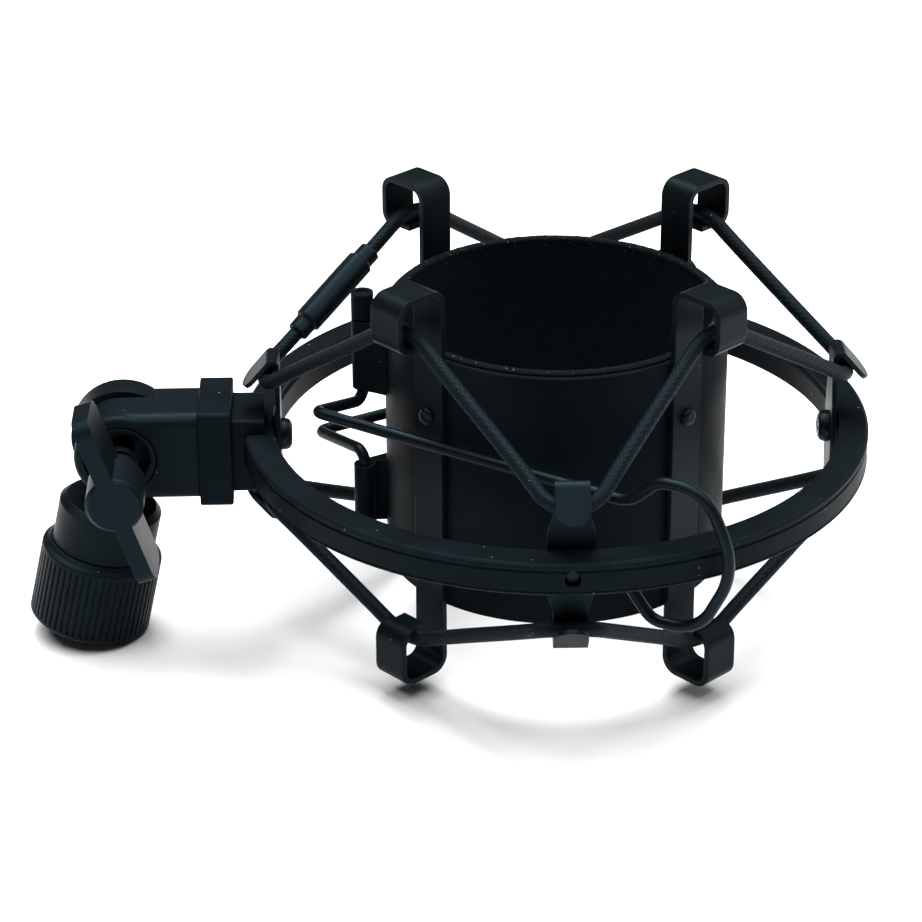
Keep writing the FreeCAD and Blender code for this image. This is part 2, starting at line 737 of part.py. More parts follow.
def stand_body():
    """Cheek with a neck down to a round body, and a spigot for the nut."""
    radius = size("stand_radius")
    body = new_body("stand_body")
    section = lines(((0, drum_top - 13), (radius - 1.4, drum_top - 13),
                     (radius - 1.4, nut_top + 0.2), (radius, nut_top + 0.2),
                     (radius, drum_top - 1.2), (radius - 1.2, drum_top), (0, drum_top)))
    turned(body, "Revolution", sketch(body, "drum_section", "XZ_Plane", section))
    box_in(body, "Additive", "neck", -4.8, 4.8, cheek_front, cheek_rear, drum_top - 1, 0)
    cylinder_in(body, "Additive", "cheek", "sizes.cheek_radius", cheek_rear - cheek_front,
                V(0, cheek_front, 0), Y_AXIS)
    cylinder_in(body, "Subtractive", "stud_seat", "sizes.stud_radius + 0.05", 20,
                V(0, 0, 0), Y_AXIS)
    rounded(body, "cheek_rim", 0.8, lambda edge: is_circle(edge)
            and abs(edge.Curve.Radius - size("cheek_radius")) < 0.01
            and edge.CenterOfMass.y > cheek_rear - 0.1)
    at_pivot(body, size("stand_lean"))
    keep(body, "stand_body")


def pivot_stud():
    """Stud through the swivel with a thrust collar, which the lever turns on."""
    radius = size("stud_radius")
    section = lines(((0, 0.3 - cheek_rear), (radius, 0.3 - cheek_rear), (radius, 8.0),
                     (3.4, 8.0), (3.4, 9.6), (radius, 9.6), (radius, 25.2), (0, 25.2)))
    body = new_body("pivot_stud")
    turned(body, "Revolution", sketch(body, "stud_section", "XZ_Plane", section))
    across_pivot(body)
    keep(body, "pivot_stud")


def lock_lever():
    """Wing lever: a round hub with a flat wing on each side."""
    near = 26.2
    half = size("lever_length") / 2
    depth = size("lever_depth")
    bore = size("stud_radius") + PIN_GAP
    hub = lines(((bore, near - 14), (3.9, near - 14), (3.9, near - 9.5), (5.4, near - 9.5),
                 (5.4, near - 0.7), (4.7, near), (0, near), (0, near - 0.8),
                 (bore, near - 0.8)))
    body = new_body("lock_lever")
    turned(body, "Revolution", sketch(body, "hub_section", "XZ_Plane", hub))
    wings = rectangle(-half, -4, near - depth, near) + rectangle(4, half, near - depth, near)
    extruded(body, "Pad", sketch(body, "wing_side", "XZ_Plane", wings), 3.3)
    rounded(body, "wing_corners", 3.0, lambda edge: runs_along(edge, Y_AXIS)
            and abs(edge.CenterOfMass.x) > half - 0.1)
    at_pivot(body)
    turn = FreeCAD.Rotation(Y_AXIS, 90 - size("lever_turn"))
    body.Placement = FreeCAD.Placement(body.Placement.Base, turn * along(-Y_AXIS))
    keep(body, "lock_lever")


def thumb_nut():
    """Ribbed stand nut: a turned body with straight grooves patterned round it."""
    radius = size("nut_radius")
    bore = size("nut_bore")
    bottom = nut_top - size("nut_height")
    seat = size("stand_radius") - 1.3
    outline = lines(((seat, nut_top), (radius - 1.4, nut_top), (radius - 0.9, nut_top - 0.6),
                     (radius - 0.1, nut_top - 1.1), (radius, nut_top - 1.5),
                     (radius, bottom + 0.9), (radius - 0.7, bottom + 0.2),
                     (radius - 1.2, bottom), (bore + 0.7, bottom), (bore, bottom + 0.7),
                     (bore, nut_top - 3.7), (seat, nut_top - 3.7)))
    body = new_body("thumb_nut")
    turned(body, "Revolution", sketch(body, "nut_section", "XZ_Plane", outline))
    groove = box_in(body, "Subtractive", "grip_groove", radius - 0.35, radius + 1.6,
                    -0.25, 0.25, bottom + 1.5, nut_top - 1.9)
    ribs = body.newObject("PartDesign::PolarPattern", "grip_ribs")
    ribs.Originals = [groove]
    ribs.Axis = (plane_of(body, "Z_Axis"), [""])
    ribs.Angle = 360
    ribs.setExpression("Occurrences", "sizes.nut_ribs")
    body.Tip = ribs
    doc.recompute()
    at_pivot(body, size("stand_lean"))
    keep(body, "thumb_nut")


# -------------------------------------------------------------------- assembly

outer_ring()
for side_name, side_azimuth in (("right", 0), ("back", 90), ("left", 180), ("front", 270)):
    ring_tab("tab_" + side_name, side_azimuth)
    tab_screw("tab_screw_" + side_name, side_azimuth)
ring_boss()
arm_flange()
swivel_arm()
swivel_cup()
stand_body()
pivot_stud()
lock_lever()
thumb_nut()

for half_name, half_azimuth, strap_sides in (("front", 270, ("left", "right")),
                                             ("back", 90, ("right", "left"))):
    half_shell("shell_" + half_name, half_azimuth)
    half_liner("liner_" + half_name, half_azimuth)
    strap_rivets("rivets_" + half_name, half_azimuth)
    for strap_side, strap_azimuth in zip(strap_sides, strap_azimuths(half_azimuth)):
        hook_strap("strap_%s_%s" % (half_name, strap_side), strap_azimuth)
knuckles("knuckles_front", FRONT_KNUCKLES, -1)
knuckles("knuckles_back", BACK_KNUCKLES, 1)
clamp_wire("clamp_wire_front", -1)
clamp_wire("clamp_wire_back", 1)
knob_boss()
cradle_knob()
elastic_loop("elastic_top", 1)
elastic_loop("elastic_bottom", -1)
cord_sleeve()

doc.recompute()

for obj in doc.Objects:
    if "Invalid" in obj.State or "Error" in obj.State:
        raise RuntimeError("%s did not build" % obj.Name)
for obj in nodes:
    if obj.Shape.isNull() or not obj.Shape.isValid() or not obj.Shape.Solids:
        raise RuntimeError("%s has no valid solid" % obj.Label)
for obj in nodes:
    obj.Shape.exportStep("parts/%s.step" % obj.Label)
print("wrote %d parts" % len(nodes))
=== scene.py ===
"""Looks for an elastic suspension mount that holds a studio microphone.

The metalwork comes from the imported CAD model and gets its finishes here. The felt
liners, the woven elastic cords and the cord sleeve are modelled here. Lengths are in
metres, Z is up, and the outer ring's centre is the origin.
"""
import math
import random

import bpy
from bpy.props import FloatProperty, FloatVectorProperty, IntProperty, PointerProperty
from bpy.types import Operator, Panel, PropertyGroup
from mathutils import Matrix, Vector


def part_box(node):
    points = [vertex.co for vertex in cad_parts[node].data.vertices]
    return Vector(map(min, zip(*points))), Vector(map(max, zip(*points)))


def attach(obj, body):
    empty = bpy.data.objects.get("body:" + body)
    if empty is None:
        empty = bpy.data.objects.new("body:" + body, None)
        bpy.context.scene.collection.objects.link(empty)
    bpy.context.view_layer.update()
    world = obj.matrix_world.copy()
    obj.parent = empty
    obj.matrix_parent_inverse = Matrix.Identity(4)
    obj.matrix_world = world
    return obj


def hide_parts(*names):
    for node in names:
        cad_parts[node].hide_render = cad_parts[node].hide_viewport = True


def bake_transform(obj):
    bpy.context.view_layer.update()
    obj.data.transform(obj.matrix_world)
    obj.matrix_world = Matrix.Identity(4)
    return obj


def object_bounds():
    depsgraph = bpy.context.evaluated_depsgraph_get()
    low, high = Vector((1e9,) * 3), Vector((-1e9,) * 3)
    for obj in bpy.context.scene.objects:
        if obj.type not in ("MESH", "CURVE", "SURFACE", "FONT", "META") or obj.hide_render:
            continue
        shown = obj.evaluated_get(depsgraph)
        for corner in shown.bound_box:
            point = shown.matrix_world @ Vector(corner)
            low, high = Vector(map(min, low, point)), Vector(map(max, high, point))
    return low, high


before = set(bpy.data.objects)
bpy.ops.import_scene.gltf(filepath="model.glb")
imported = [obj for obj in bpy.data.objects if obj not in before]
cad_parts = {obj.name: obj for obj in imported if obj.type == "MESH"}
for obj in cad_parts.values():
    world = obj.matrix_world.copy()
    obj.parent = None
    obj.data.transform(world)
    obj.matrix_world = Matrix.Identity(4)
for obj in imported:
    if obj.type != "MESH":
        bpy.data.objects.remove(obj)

bl_info = {
    "name": "Microphone Shock Mount",
    "version": (1, 0, 0),
    "blender": (4, 5, 0),
    "location": "View3D > Sidebar > Shock Mount",
    "description": "Finishes and soft pieces of an elastic microphone shock mount",
    "category": "Object",
}

CAD_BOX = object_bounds()


# ------------------------------------------------------------------- settings

class PaintSettings(PropertyGroup):
    """Colours of the finishes."""
    enamel: FloatVectorProperty(
        name="Enamel", description="Satin black enamel on the ring and the swivel",
        subtype="COLOR", size=3, min=0, max=1, default=(0.0026, 0.0042, 0.0052))
    sheet_black: FloatVectorProperty(
        name="Sheet Black", description="Black coating on the shell, straps and tabs",
        subtype="COLOR", size=3, min=0, max=1, default=(0.0022, 0.0036, 0.0045))
    steel_black: FloatVectorProperty(
        name="Steel Black", description="Blackened steel of the screws, rivets and wires",
        subtype="COLOR", size=3, min=0, max=1, default=(0.0020, 0.0032, 0.0040))
    plastic_black: FloatVectorProperty(
        name="Plastic Black", description="Black plastic of the knob and the cord sleeve",
        subtype="COLOR", size=3, min=0, max=1, default=(0.0024, 0.0038, 0.0046))
    worn_edge: FloatVectorProperty(
        name="Worn Edge", description="Colour that rubbed edges go to",
        subtype="COLOR", size=3, min=0, max=1, default=(0.020, 0.029, 0.034))
    sheen: FloatVectorProperty(
        name="Sheen", description="Cold tint of the coatings' gloss",
        subtype="COLOR", size=3, min=0, max=1, default=(0.42, 0.78, 1.00))
    lint: FloatVectorProperty(
        name="Lint", description="Colour of dust and lint",
        subtype="COLOR", size=3, min=0, max=1, default=(0.10, 0.125, 0.13))


class FeltSettings(PropertyGroup):
    """Sizes of the felt liners."""
    inside: FloatProperty(
        name="Inside Radius", description="Radius of the felt's inner face",
        unit="LENGTH", min=0.02, max=0.04, default=0.0297)
    outside: FloatProperty(
        name="Outside Radius", description="Radius of the felt's outer face",
        unit="LENGTH", min=0.02, max=0.04, default=0.03085)
    overhang: FloatProperty(
        name="Overhang", description="Extra thickness of the rolled top edge",
        unit="LENGTH", min=0, max=0.002, default=0.0007)
    fuzz: FloatProperty(
        name="Fuzz", description="Depth of the uneven surface",
        unit="LENGTH", min=0, max=0.001, default=0.00022)
    fibre_count: IntProperty(
        name="Fibres", description="Loose fibres on each liner's top edge",
        min=0, max=600, default=170)
    colour: FloatVectorProperty(
        name="Felt", description="Black felt",
        subtype="COLOR", size=3, min=0, max=1, default=(0.0026, 0.0043, 0.0054))


class CordSettings(PropertyGroup):
    """Sizes of the elastic cords."""
    diameter: FloatProperty(
        name="Diameter", description="Thickness of the woven elastic cord",
        unit="LENGTH", min=0.001, max=0.006, default=0.0028)
    rib_pitch: FloatProperty(
        name="Rib Pitch", description="Distance between the ribs of the braid",
        unit="LENGTH", min=0.0002, max=0.003, default=0.00085)
    colour: FloatVectorProperty(
        name="Braid", description="Black braid of the cords",
        subtype="COLOR", size=3, min=0, max=1, default=(0.0022, 0.0034, 0.0043))


class StageSettings(PropertyGroup):
    """Floor, lamps and camera."""
    floor: FloatVectorProperty(
        name="Floor", description="Colour of the floor",
        subtype="COLOR", size=3, min=0, max=1, default=(0.86, 0.86, 0.86))
    room_light: FloatProperty(
        name="Room Light", description="Brightness of the plain dim room",
        min=0, max=4, default=0.04)
    lens: FloatProperty(
        name="Lens", description="Focal length of the camera in millimetres",
        min=20, max=300, default=130.7)


# ---------------------------------------------------------------- node helpers

def new_group(name, inputs, outputs):
    """Shader node group with number inputs and the outputs given as (name, kind)."""
    group = bpy.data.node_groups.new(name, "ShaderNodeTree")
    for label, default in inputs:
        item = group.interface.new_socket(label, in_out="INPUT", socket_type="NodeSocketFloat")
        item.default_value = default
    for label, kind in outputs:
        group.interface.new_socket(label, in_out="OUTPUT", socket_type="NodeSocket" + kind)
    return group, group.nodes.new("NodeGroupInput"), group.nodes.new("NodeGroupOutput")


def node(tree, kind, **values):
    """New node. Values named after its own settings are set on it."""
    made = tree.nodes.new("ShaderNode" + kind)
    for key, value in values.items():
        setattr(made, key, value)
    return made


def put(tree, socket, value):
    """Link an output to a socket, or set the socket to a number or colour."""
    if isinstance(value, bpy.types.NodeSocket):
        tree.links.new(value, socket)
    else:
        socket.default_value = value


def calc(tree, operation, *values):
    """Math node of two or three values, and its result."""
    made = node(tree, "Math", operation=operation)
    for socket, value in zip(made.inputs, values):
        put(tree, socket, value)
    return made.outputs[0]


def rescale(tree, value, low, high, to_low, to_high):
    """Number moved from one range to another and kept inside it."""
    made = node(tree, "MapRange")
    for socket, number in zip(made.inputs[:5], (value, low, high, to_low, to_high)):
        put(tree, socket, number)
    return made.outputs[0]


def blend_colour(tree, factor, first, second):
    """Colour between two others."""
    made = node(tree, "Mix", data_type="RGBA")
    put(tree, made.inputs[0], factor)
    put(tree, made.inputs[6], first)
    put(tree, made.inputs[7], second)
    return made.outputs[2]


def noise(tree, scale, detail=2.0, roughness=0.5):
    """Noise on Object coordinates."""
    place = node(tree, "TexCoord")
    made = node(tree, "TexNoise")
    tree.links.new(place.outputs["Object"], made.inputs["Vector"])
    put(tree, made.inputs["Scale"], scale)
    made.inputs["Detail"].default_value = detail
    made.inputs["Roughness"].default_value = roughness
    return made.outputs[0]


def bump(tree, height, strength, distance, normal=None):
    """Bump node and its normal."""
    made = node(tree, "Bump")
    put(tree, made.inputs["Height"], height)
    made.inputs["Strength"].default_value = strength
    made.inputs["Distance"].default_value = distance
    if normal is not None:
        tree.links.new(normal, made.inputs["Normal"])
    return made.outputs["Normal"]


def paint(colour):
    """Colour with full alpha."""
    return (colour[0], colour[1], colour[2], 1.0)


# --------------------------------------------------------------- shared effects

def dust_group():
    """Scattered pale specks of dust and lint."""
    if "Dust" in bpy.data.node_groups:
        return bpy.data.node_groups["Dust"]
    tree, entry, leave = new_group("Dust", (("Scale", 900.0), ("Amount", 0.1), ("Size", 0.2)),
                                   (("Mask", "Float"),))
    place = node(tree, "TexCoord")
    cells = node(tree, "TexVoronoi")
    tree.links.new(place.outputs["Object"], cells.inputs["Vector"])
    tree.links.new(entry.outputs["Scale"], cells.inputs["Scale"])
    split = node(tree, "SeparateColor")
    tree.links.new(cells.outputs["Color"], split.inputs[0])
    chosen = calc(tree, "LESS_THAN", split.outputs[0], entry.outputs["Amount"])
    width = calc(tree, "MULTIPLY", split.outputs[1], entry.outputs["Size"])
    near = calc(tree, "LESS_THAN", cells.outputs["Distance"], width)
    tree.links.new(calc(tree, "MULTIPLY", chosen, near), leave.inputs["Mask"])
    return tree


def grain_group():
    """Fine pebbled grain of a sprayed coating, with slow changes of gloss."""
    if "Coating Grain" in bpy.data.node_groups:
        return bpy.data.node_groups["Coating Grain"]
    tree, entry, leave = new_group("Coating Grain", (("Scale", 3000.0),),
                                   (("Height", "Float"), ("Tone", "Float")))
    fine = noise(tree, entry.outputs["Scale"], 3.0, 0.6)
    broad = noise(tree, calc(tree, "MULTIPLY", entry.outputs["Scale"], 0.03), 3.0, 0.55)
    tree.links.new(fine, leave.inputs["Height"])
    tone = calc(tree, "ADD", calc(tree, "MULTIPLY", fine, 0.35),
                calc(tree, "MULTIPLY", broad, 0.65))
    tree.links.new(tone, leave.inputs["Tone"])
    return tree


def edge_group():
    """Softened edges: their normal, and a broken mask where the coating is rubbed."""
    if "Rubbed Edges" in bpy.data.node_groups:
        return bpy.data.node_groups["Rubbed Edges"]
    tree, entry, leave = new_group("Rubbed Edges", (("Radius", 0.0003), ("Wear", 0.5)),
                                   (("Mask", "Float"), ("Normal", "Vector")))
    softened = node(tree, "Bevel", samples=6)
    tree.links.new(entry.outputs["Radius"], softened.inputs["Radius"])
    flat = node(tree, "NewGeometry")
    compare = node(tree, "VectorMath", operation="DOT_PRODUCT")
    tree.links.new(softened.outputs[0], compare.inputs[0])
    tree.links.new(flat.outputs["Normal"], compare.inputs[1])
    turned = rescale(tree, compare.outputs["Value"], 0.995, 0.90, 0.0, 1.0)
    broken = rescale(tree, noise(tree, 420.0, 4.0, 0.7), 0.42, 0.66, 0.15, 1.0)
    mask = calc(tree, "MULTIPLY", calc(tree, "MULTIPLY", turned, broken), entry.outputs["Wear"])
    tree.links.new(mask, leave.inputs["Mask"])
    tree.links.new(softened.outputs[0], leave.inputs["Normal"])
    return tree


def braid_group():
    """Braid of a round cord on its own UV map: crossing strands and ribs, and a mask of painted
    shade for the gaps between the strands.
    """
    if "Braid" in bpy.data.node_groups:
        return bpy.data.node_groups["Braid"]
    tree, entry, leave = new_group("Braid", (("Along", 400.0), ("Around", 8.0)),
                                   (("Height", "Float"), ("Gap", "Float")))
    place = node(tree, "UVMap", uv_map="UVMap")
    split = node(tree, "SeparateXYZ")
    tree.links.new(place.outputs[0], split.inputs[0])
    along = calc(tree, "MULTIPLY", split.outputs[0], entry.outputs["Along"])
    around = calc(tree, "MULTIPLY", split.outputs[1], entry.outputs["Around"])
    left = calc(tree, "ADD", along, around)
    right = calc(tree, "SUBTRACT", along, around)
    waves = []
    for slant in (left, right):
        turn = calc(tree, "MULTIPLY", slant, math.pi)
        waves.append(calc(tree, "ABSOLUTE", calc(tree, "SINE", turn)))
    over = calc(tree, "MULTIPLY", calc(tree, "SINE", calc(tree, "MULTIPLY", left, math.pi)),
                calc(tree, "SINE", calc(tree, "MULTIPLY", right, math.pi)))
    swap = rescale(tree, over, -0.2, 0.2, 0.0, 1.0)
    first = calc(tree, "MULTIPLY", waves[0], swap)
    second = calc(tree, "MULTIPLY", waves[1], calc(tree, "SUBTRACT", 1.0, swap))
    height = calc(tree, "ADD", first, second)
    tree.links.new(height, leave.inputs["Height"])
    # The gap mask is painted shade: it is highest in the low gaps between the strands.
    tree.links.new(rescale(tree, height, 0.0, 0.45, 1.0, 0.0), leave.inputs["Gap"])
    return tree


def group_node(tree, group, **values):
    """Node that uses a shared effect, with its inputs set."""
    made = node(tree, "Group", node_tree=group)
    for label, value in values.items():
        put(tree, made.inputs[label], value)
    return made


# -------------------------------------------------------------------- finishes

# Lint gathers on the felt between these two heights, up to its top edge.
LINT_FROM = 0.0245
LINT_TO = 0.0266


def new_material(name):
    """Material with one Principled BSDF, its tree and the shader."""
    material = bpy.data.materials.new(name)
    material.use_nodes = True
    return material, material.node_tree, material.node_tree.nodes["Principled BSDF"]


def coated_metal(name, colour, roughness, specular, grain=3000.0, relief=0.25,
                 edge=0.0003, wear=0.5, specks=0.03, speck_size=0.16):
    """Black coated metal with a fine grain, softened rubbed edges and a little dust."""
    paints = bpy.context.scene.shock_mount_paint
    material, tree, shader = new_material(name)
    coating = group_node(tree, grain_group(), Scale=grain)
    edges = group_node(tree, edge_group(), Radius=edge, Wear=wear)
    dust = group_node(tree, dust_group(), Scale=850.0, Amount=specks, Size=speck_size)
    tone = rescale(tree, coating.outputs["Tone"], 0.35, 0.65, 0.0, 1.0)
    lighter = paint([min(1.0, part * 1.55) for part in colour])
    base = blend_colour(tree, tone, paint(colour), lighter)
    rubbed = blend_colour(tree, edges.outputs["Mask"], base, paint(paints.worn_edge))
    dusty = blend_colour(tree, dust.outputs["Mask"], rubbed, paint(paints.lint))
    put(tree, shader.inputs["Base Color"], dusty)
    gloss = rescale(tree, tone, 0.0, 1.0, roughness - 0.05, roughness + 0.07)
    gloss = calc(tree, "SUBTRACT", gloss, calc(tree, "MULTIPLY", edges.outputs["Mask"], 0.12))
    put(tree, shader.inputs["Roughness"], gloss)
    shader.inputs["Specular IOR Level"].default_value = specular
    shader.inputs["Specular Tint"].default_value = paint(paints.sheen)
    normal = bump(tree, coating.outputs["Height"], relief, 0.00006, edges.outputs["Normal"])
    tree.links.new(normal, shader.inputs["Normal"])
    return material


def moulded_plastic(name, colour, roughness, specular):
    """Moulded plastic with a spark-eroded grain and soft edges."""
    paints = bpy.context.scene.shock_mount_paint
    material, tree, shader = new_material(name)
    skin = group_node(tree, grain_group(), Scale=2200.0)
    edges = group_node(tree, edge_group(), Radius=0.00035, Wear=0.25)
    dust = group_node(tree, dust_group(), Scale=800.0, Amount=0.05, Size=0.15)
    tone = rescale(tree, skin.outputs["Tone"], 0.35, 0.65, 0.0, 1.0)
    base = blend_colour(tree, tone, paint(colour), paint([part * 1.4 for part in colour]))
    rubbed = blend_colour(tree, edges.outputs["Mask"], base, paint(paints.worn_edge))
    dusty = blend_colour(tree, dust.outputs["Mask"], rubbed, paint(paints.lint))
    put(tree, shader.inputs["Base Color"], dusty)
    put(tree, shader.inputs["Roughness"],
        rescale(tree, tone, 0.0, 1.0, roughness - 0.06, roughness + 0.06))
    shader.inputs["Specular IOR Level"].default_value = specular
    shader.inputs["Specular Tint"].default_value = paint(paints.sheen)
    normal = bump(tree, skin.outputs["Height"], 0.3, 0.00008, edges.outputs["Normal"])
    tree.links.new(normal, shader.inputs["Normal"])
    return material


def felt_cloth(name, colour):
    """Pressed black felt: matted fibres, a soft sheen and caught lint."""
    paints = bpy.context.scene.shock_mount_paint
    material, tree, shader = new_material(name)
    matted = noise(tree, 2600.0, 6.0, 0.75)
    clumps = noise(tree, 500.0, 3.0, 0.6)
    lint = group_node(tree, dust_group(), Scale=1500.0, Amount=0.30, Size=0.30)
    shade = rescale(tree, matted, 0.35, 0.70, 0.0, 1.0)
    base = blend_colour(tree, shade, paint(colour), paint([part * 2.2 for part in colour]))
    tufted = blend_colour(tree, rescale(tree, clumps, 0.45, 0.75, 0.0, 0.35), base,
                          paint([part * 3.0 for part in colour]))
    place = node(tree, "TexCoord")
    split = node(tree, "SeparateXYZ")
    tree.links.new(place.outputs["Object"], split.inputs[0])
    near_rim = rescale(tree, split.outputs[2], LINT_FROM, LINT_TO, 0.04, 1.0)
    caught = blend_colour(tree, calc(tree, "MULTIPLY", lint.outputs["Mask"], near_rim), tufted,
                          paint(paints.lint))
    put(tree, shader.inputs["Base Color"], caught)
    put(tree, shader.inputs["Roughness"], rescale(tree, matted, 0.3, 0.7, 0.88, 1.0))
    shader.inputs["Specular IOR Level"].default_value = 0.02
    shader.inputs["Sheen Weight"].default_value = 0.01
    shader.inputs["Sheen Roughness"].default_value = 0.6
    height = calc(tree, "ADD", matted, calc(tree, "MULTIPLY", clumps, 0.8))
    tree.links.new(bump(tree, height, 0.9, 0.0003), shader.inputs["Normal"])
    return material


def woven_cord(name, colour, along, around):
    """Black braided sheath of an elastic cord, with painted shade darkening the gaps of its
    braid.
    """
    paints = bpy.context.scene.shock_mount_paint
    material, tree, shader = new_material(name)
    braid = group_node(tree, braid_group(), Along=along, Around=around)
    lint = group_node(tree, dust_group(), Scale=1200.0, Amount=0.05, Size=0.22)
    threads = noise(tree, 5200.0, 3.0, 0.6)
    base = blend_colour(tree, threads, paint(colour), paint([part * 1.7 for part in colour]))
    # Painted shade: the braid's colour is darkened where the gap mask marks the gaps between the
    # strands.
    dark = blend_colour(tree, braid.outputs["Gap"], base, paint([part * 0.55 for part in colour]))
    linty = blend_colour(tree, lint.outputs["Mask"], dark, paint(paints.lint))
    put(tree, shader.inputs["Base Color"], linty)
    put(tree, shader.inputs["Roughness"], rescale(tree, threads, 0.3, 0.7, 0.46, 0.62))
    shader.inputs["Specular IOR Level"].default_value = 0.12
    shader.inputs["Specular Tint"].default_value = paint(paints.sheen)
    height = calc(tree, "ADD", braid.outputs["Height"], calc(tree, "MULTIPLY", threads, 0.25))
    tree.links.new(bump(tree, height, 0.45, 0.00018), shader.inputs["Normal"])
    return material


def give(names, material):
    """Put a material on CAD nodes."""
    for name in names:
        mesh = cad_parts[name].data
        mesh.materials.clear()
        mesh.materials.append(material)


# ------------------------------------------------------------- modelling helpers

def start_clean():
    """Leave edit mode with nothing selected."""
    if bpy.context.object is not None and bpy.context.object.mode != "OBJECT":
        bpy.ops.object.mode_set(mode="OBJECT")
    bpy.ops.object.select_all(action="DESELECT")


def pick(kind, wanted):
    """In edit mode, select only the vertices, edges or faces that pass a test."""
    bpy.ops.mesh.select_all(action="DESELECT")
    bpy.ops.object.mode_set(mode="OBJECT")
    mesh = bpy.context.object.data
    for item in getattr(mesh, kind):
        item.select = bool(wanted(item))
    bpy.ops.object.mode_set(mode="EDIT")
    bpy.ops.mesh.select_mode(type={"vertices": "VERT", "edges": "EDGE",
                                   "polygons": "FACE"}[kind])


def apply_modifier(piece, kind, **values):
    """Add a modifier, set it and apply it."""
    made = piece.modifiers.new(kind.title(), kind)
    for key, value in values.items():
        setattr(made, key, value)
    bpy.context.view_layer.objects.active = piece
    bpy.ops.object.modifier_apply(modifier=made.name)


def settle(piece, name, material):
    """Name a finished piece, put its place in its mesh and give it its finish."""
    piece.name = name
    piece.data.name = name
    piece.data.transform(piece.matrix_world)
    piece.matrix_world = Matrix.Identity(4)
    piece.data.materials.clear()
    piece.data.materials.append(material)
    piece.select_set(False)
    return piece


# -------------------------------------------------------------------- operators

class SHOCKMOUNT_OT_ring(Operator):
    """Enamel the outer ring, its boss and its flange"""
    bl_idname = "shock_mount.ring"
    bl_label = "Outer Ring"

    def execute(self, context):
        colour = context.scene.shock_mount_paint.enamel
        enamel = coated_metal("ring_enamel", colour, 0.48, 0.04, grain=2600.0, relief=0.35,
                              edge=0.00035, wear=0.55, specks=0.10, speck_size=0.17)
        give(("outer_ring", "ring_boss", "arm_flange"), enamel)
        return {"FINISHED"}


class SHOCKMOUNT_OT_tabs(Operator):
    """Finish the four sheet tabs on the ring"""
    bl_idname = "shock_mount.tabs"
    bl_label = "Ring Tabs"

    def execute(self, context):
        colour = context.scene.shock_mount_paint.sheet_black
        sheet = coated_metal("tab_black", colour, 0.40, 0.11, grain=2000.0, relief=0.15,
                             edge=0.00025, wear=0.9, specks=0.04)
        give(("tab_right", "tab_back", "tab_left", "tab_front"), sheet)
        return {"FINISHED"}


class SHOCKMOUNT_OT_swivel(Operator):
    """Finish the swivel arm, the stand body, the cup, the lever and the nut"""
    bl_idname = "shock_mount.swivel"
    bl_label = "Swivel and Stand"

    def execute(self, context):
        colour = context.scene.shock_mount_paint.enamel
        cast = coated_metal("swivel_enamel", colour, 0.44, 0.07, grain=2400.0, relief=0.3,
                            edge=0.0004, wear=0.45, specks=0.02)
        give(("swivel_arm", "stand_body", "thumb_nut"), cast)
        wings = coated_metal("lever_enamel", colour, 0.40, 0.09, grain=1800.0, relief=0.2,
                             edge=0.0004, wear=0.6, specks=0.02)
        give(("lock_lever", "swivel_cup"), wings)
        return {"FINISHED"}


class SHOCKMOUNT_OT_cradle(Operator):
    """Finish the cradle's shell, its straps and its hinge knuckles"""
    bl_idname = "shock_mount.cradle"
    bl_label = "Cradle Sheetwork"

    def execute(self, context):
        colour = context.scene.shock_mount_paint.sheet_black
        shell = coated_metal("shell_black", colour, 0.48, 0.03, grain=2800.0, relief=0.15,
                             edge=0.00025, wear=0.5, specks=0.02)
        give(("shell_front", "shell_back", "knuckles_front", "knuckles_back"), shell)
        straps = coated_metal("strap_black", colour, 0.40, 0.08, grain=2400.0, relief=0.18,
                              edge=0.0003, wear=0.75, specks=0.03)
        give(("strap_front_left", "strap_front_right", "strap_back_left",
              "strap_back_right"), straps)
        return {"FINISHED"}


class SHOCKMOUNT_OT_steel(Operator):
    """Finish the screws, the rivets, the pivot stud and the clamp wires"""
    bl_idname = "shock_mount.steel"
    bl_label = "Screws, Rivets and Wires"

    def execute(self, context):
        colour = context.scene.shock_mount_paint.steel_black
        steel = coated_metal("black_steel", colour, 0.34, 0.16, grain=1500.0, relief=0.12,
                             edge=0.0002, wear=0.9, specks=0.03)
        give(("tab_screw_right", "tab_screw_back", "tab_screw_left", "tab_screw_front",
              "rivets_front", "rivets_back", "pivot_stud", "knob_boss"), steel)
        wire = coated_metal("spring_wire", colour, 0.36, 0.12, grain=1200.0, relief=0.1,
                            edge=0.0002, wear=0.3, specks=0.03)
        give(("clamp_wire_front", "clamp_wire_back"), wire)
        return {"FINISHED"}


class SHOCKMOUNT_OT_knob(Operator):
    """Finish the cradle's grip knob"""
    bl_idname = "shock_mount.knob"
    bl_label = "Grip Knob"

    def execute(self, context):
        colour = context.scene.shock_mount_paint.plastic_black
        plastic = moulded_plastic("knob_plastic", colour, 0.5, 0.1)
        give(("cradle_knob",), plastic)
        return {"FINISHED"}


class SHOCKMOUNT_OT_felt(Operator):
    """Model the two felt liners and the loose fibres on their top edges"""
    bl_idname = "shock_mount.felt"
    bl_label = "Felt Liners"

    def execute(self, context):
        felt = context.scene.shock_mount_felt
        cloth = felt_cloth("black_felt", felt.colour)
        fuzz = bpy.data.textures.new("felt_fuzz", type="CLOUDS")
        fuzz.noise_scale = 0.0011
        fuzz.noise_depth = 3
        for half, middle, body in (("front", 270, "cradle"), ("back", 90, "jaw")):
            cad_name = "liner_" + half
            low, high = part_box(cad_name)
            shell_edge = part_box("shell_" + half)[1].z + 0.00003
            piece = felt_half(felt, middle, low.z, shell_edge, high.z, fuzz)
            settle(piece, "felt_" + half, cloth)
            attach(piece, body)
            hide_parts(cad_name)
            fibres = loose_fibres(felt, middle, high.z, middle)
            settle(fibres, "felt_fibres_" + half, cloth)
            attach(fibres, body)
        return {"FINISHED"}


